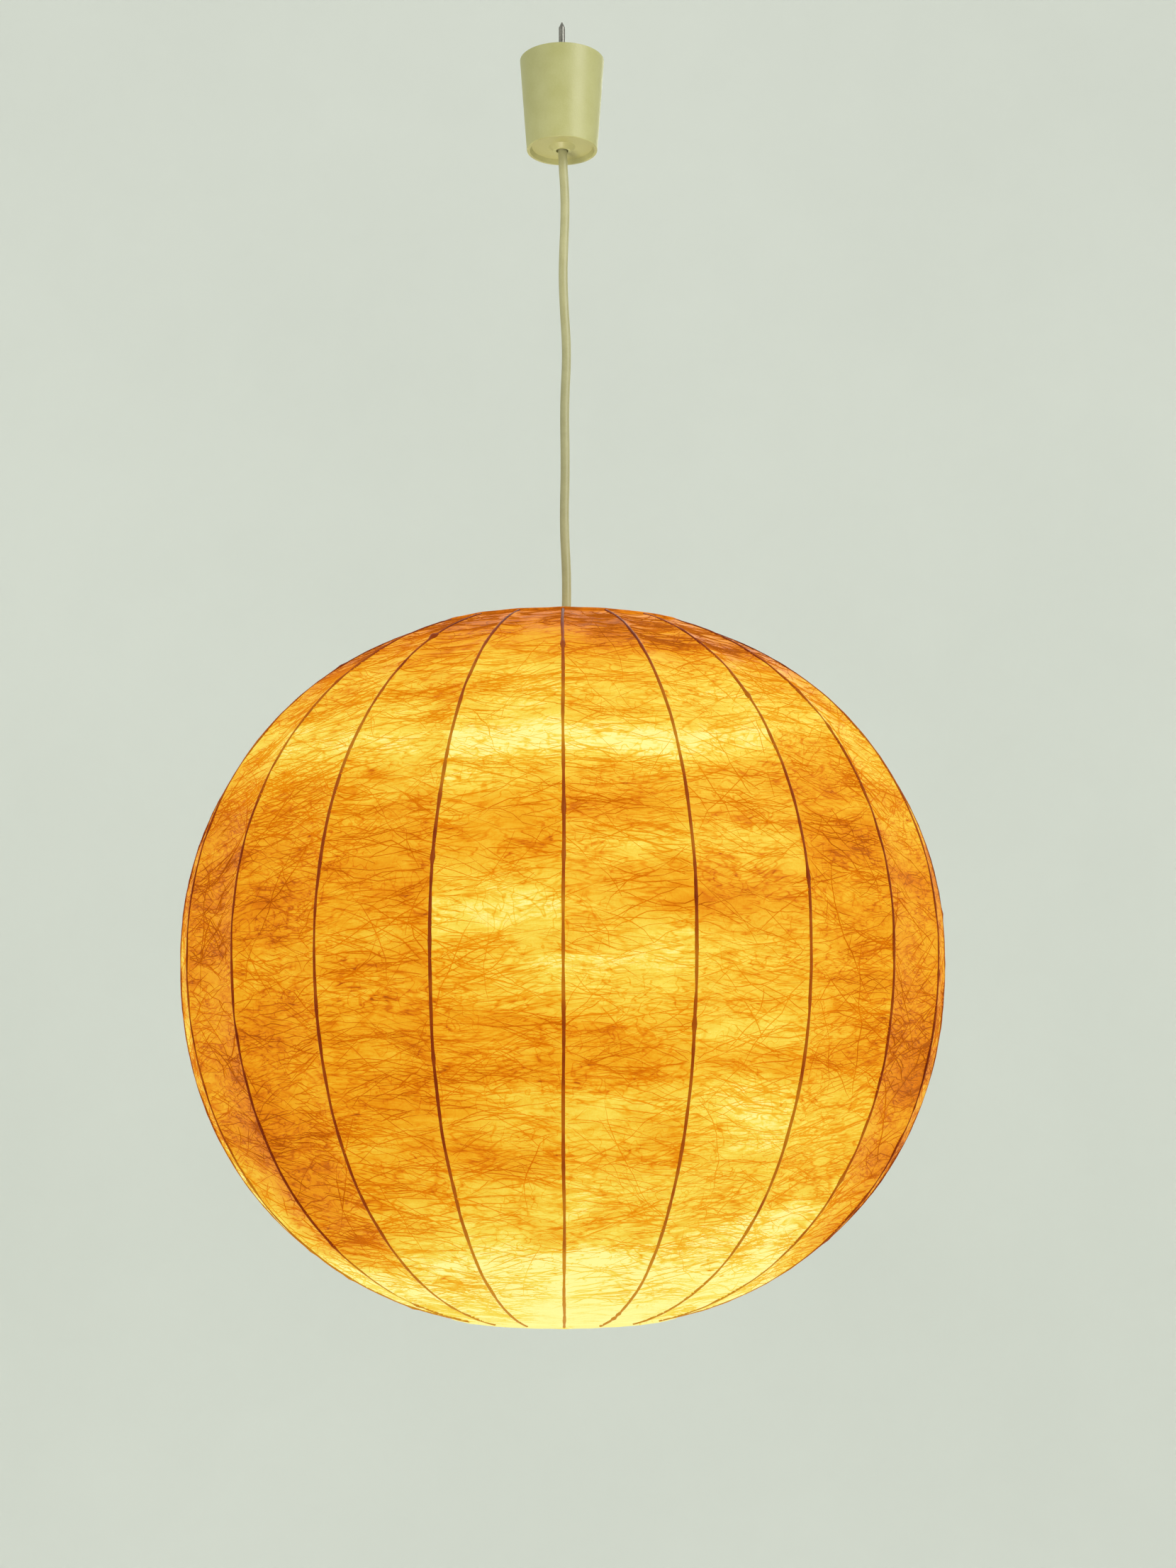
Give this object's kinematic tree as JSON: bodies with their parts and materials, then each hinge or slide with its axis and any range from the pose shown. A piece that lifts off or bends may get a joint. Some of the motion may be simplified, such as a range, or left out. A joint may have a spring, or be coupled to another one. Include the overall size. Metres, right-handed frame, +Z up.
{
  "type": "pendant lamp",
  "caption": "Globe pendant lamp: sprayed fibre skin over an upright wire cage, lampholder and bulb inside, hung by a round cable from a tapered plastic ceiling cup.",
  "frame": {"origin": "point on the ceiling plane where the hook's screw enters it", "axes": "+Z up along the cable and the shade's axis, first rib towards -Y"},
  "size_m": [0.5186, 0.5171, 0.9183],
  "materials": {
    "skin": "translucent sprayed resin-fibre film, satin",
    "rib_wire": "lacquered wire stained by the resin",
    "frame_wire": "off-white enamel",
    "ivory_plastic": "yellowed ivory, semi-gloss",
    "cable_sheath": "yellowed ivory sheath",
    "steel": "dull zinc-plated steel",
    "natural_plastic": "natural nylon",
    "screw_brass": "bright brass",
    "conductor_sheath": "brown insulation",
    "rubber_ring": "matt black rubber",
    "holder_plastic": "black moulded plastic",
    "holder_ceramic": "white steatite",
    "thread_metal": "rolled aluminium",
    "bulb_glass": "frosted glass, lit",
    "bulb_stem": "clear glass",
    "filament": "glowing wire",
    "bulb_insulator": "black vitrite",
    "solder": "solder"
  },
  "bodies": {
    "ceiling": {"ceiling_hook": "steel"},
    "link": {"hanger_ring": "steel"},
    "drop": {"cord_grip": "natural_plastic", "grip_clamp": "natural_plastic", "grip_screws": "steel", "terminal_block": "natural_plastic", "terminal_screws": "screw_brass", "conductors": "conductor_sheath", "cord": "cable_sheath"},
    "canopy": {"canopy_cup": "ivory_plastic", "canopy_grip_ring": "rubber_ring"},
    "lamp": {"cord_nipple": "natural_plastic", "holder_cap": "holder_plastic", "holder_core": "holder_ceramic", "core_screws": "screw_brass", "holder_contact": "screw_brass", "thread_shell": "thread_metal", "holder_body": "holder_plastic", "shade_ring": "holder_plastic", "fitter_ring": "frame_wire", "top_ring": "frame_wire", "bottom_ring": "frame_wire", "cocoon_skin": "skin", "spider_arm_1": "frame_wire", "spider_arm_2": "frame_wire", "spider_arm_3": "frame_wire", "rib_01": "rib_wire", "rib_02": "rib_wire", "rib_03": "rib_wire", "rib_04": "rib_wire", "rib_05": "rib_wire", "rib_06": "rib_wire", "rib_07": "rib_wire", "rib_08": "rib_wire", "rib_09": "rib_wire", "rib_10": "rib_wire", "rib_11": "rib_wire", "rib_12": "rib_wire", "rib_13": "rib_wire", "rib_14": "rib_wire", "rib_15": "rib_wire", "rib_16": "rib_wire", "rib_17": "rib_wire", "rib_18": "rib_wire", "rib_19": "rib_wire", "rib_20": "rib_wire", "rib_21": "rib_wire"},
    "bulb_tip": {"bulb_contact": "solder"},
    "bulb": {"bulb_glass": "bulb_glass", "bulb_base": "thread_metal", "bulb_insulator": "bulb_insulator", "bulb_stem": "bulb_stem", "bulb_filament": "filament"}
  },
  "joints": [
    {"name": "swing_front", "type": "hinge", "parent": "ceiling", "child": "link", "pos_m": [0, 0, -0.022], "axis": [1, 0, 0], "range_deg": [-6, 6]},
    {"name": "swing_side", "type": "hinge", "parent": "link", "child": "drop", "pos_m": [0, 0, -0.0319], "axis": [0, 1, 0], "range_deg": [-6, 6]},
    {"name": "canopy_slide", "type": "slide", "parent": "drop", "child": "canopy", "axis": [0, 0, -1], "range_m": [0, 0.45]},
    {"name": "lamp_turn", "type": "hinge", "parent": "drop", "child": "lamp", "pos_m": [0, 0, -0.546], "axis": [0, 0, 1], "range_deg": [-90, 90], "stiffness_Nm_per_rad": 0.004},
    {"name": "bulb_travel", "type": "slide", "parent": "lamp", "child": "bulb_tip", "axis": [0, 0, -1], "range_m": [0, 0.0182]},
    {"name": "bulb_turn", "type": "hinge", "parent": "bulb_tip", "child": "bulb", "pos_m": [0, 0, -0.6], "axis": [0, 0, -1], "range_deg": [0, 1800]}
  ],
  "couplings": [
    {"joint": "bulb_travel", "follows": "bulb_turn", "m_per_rad": 0.0005775}
  ]
}
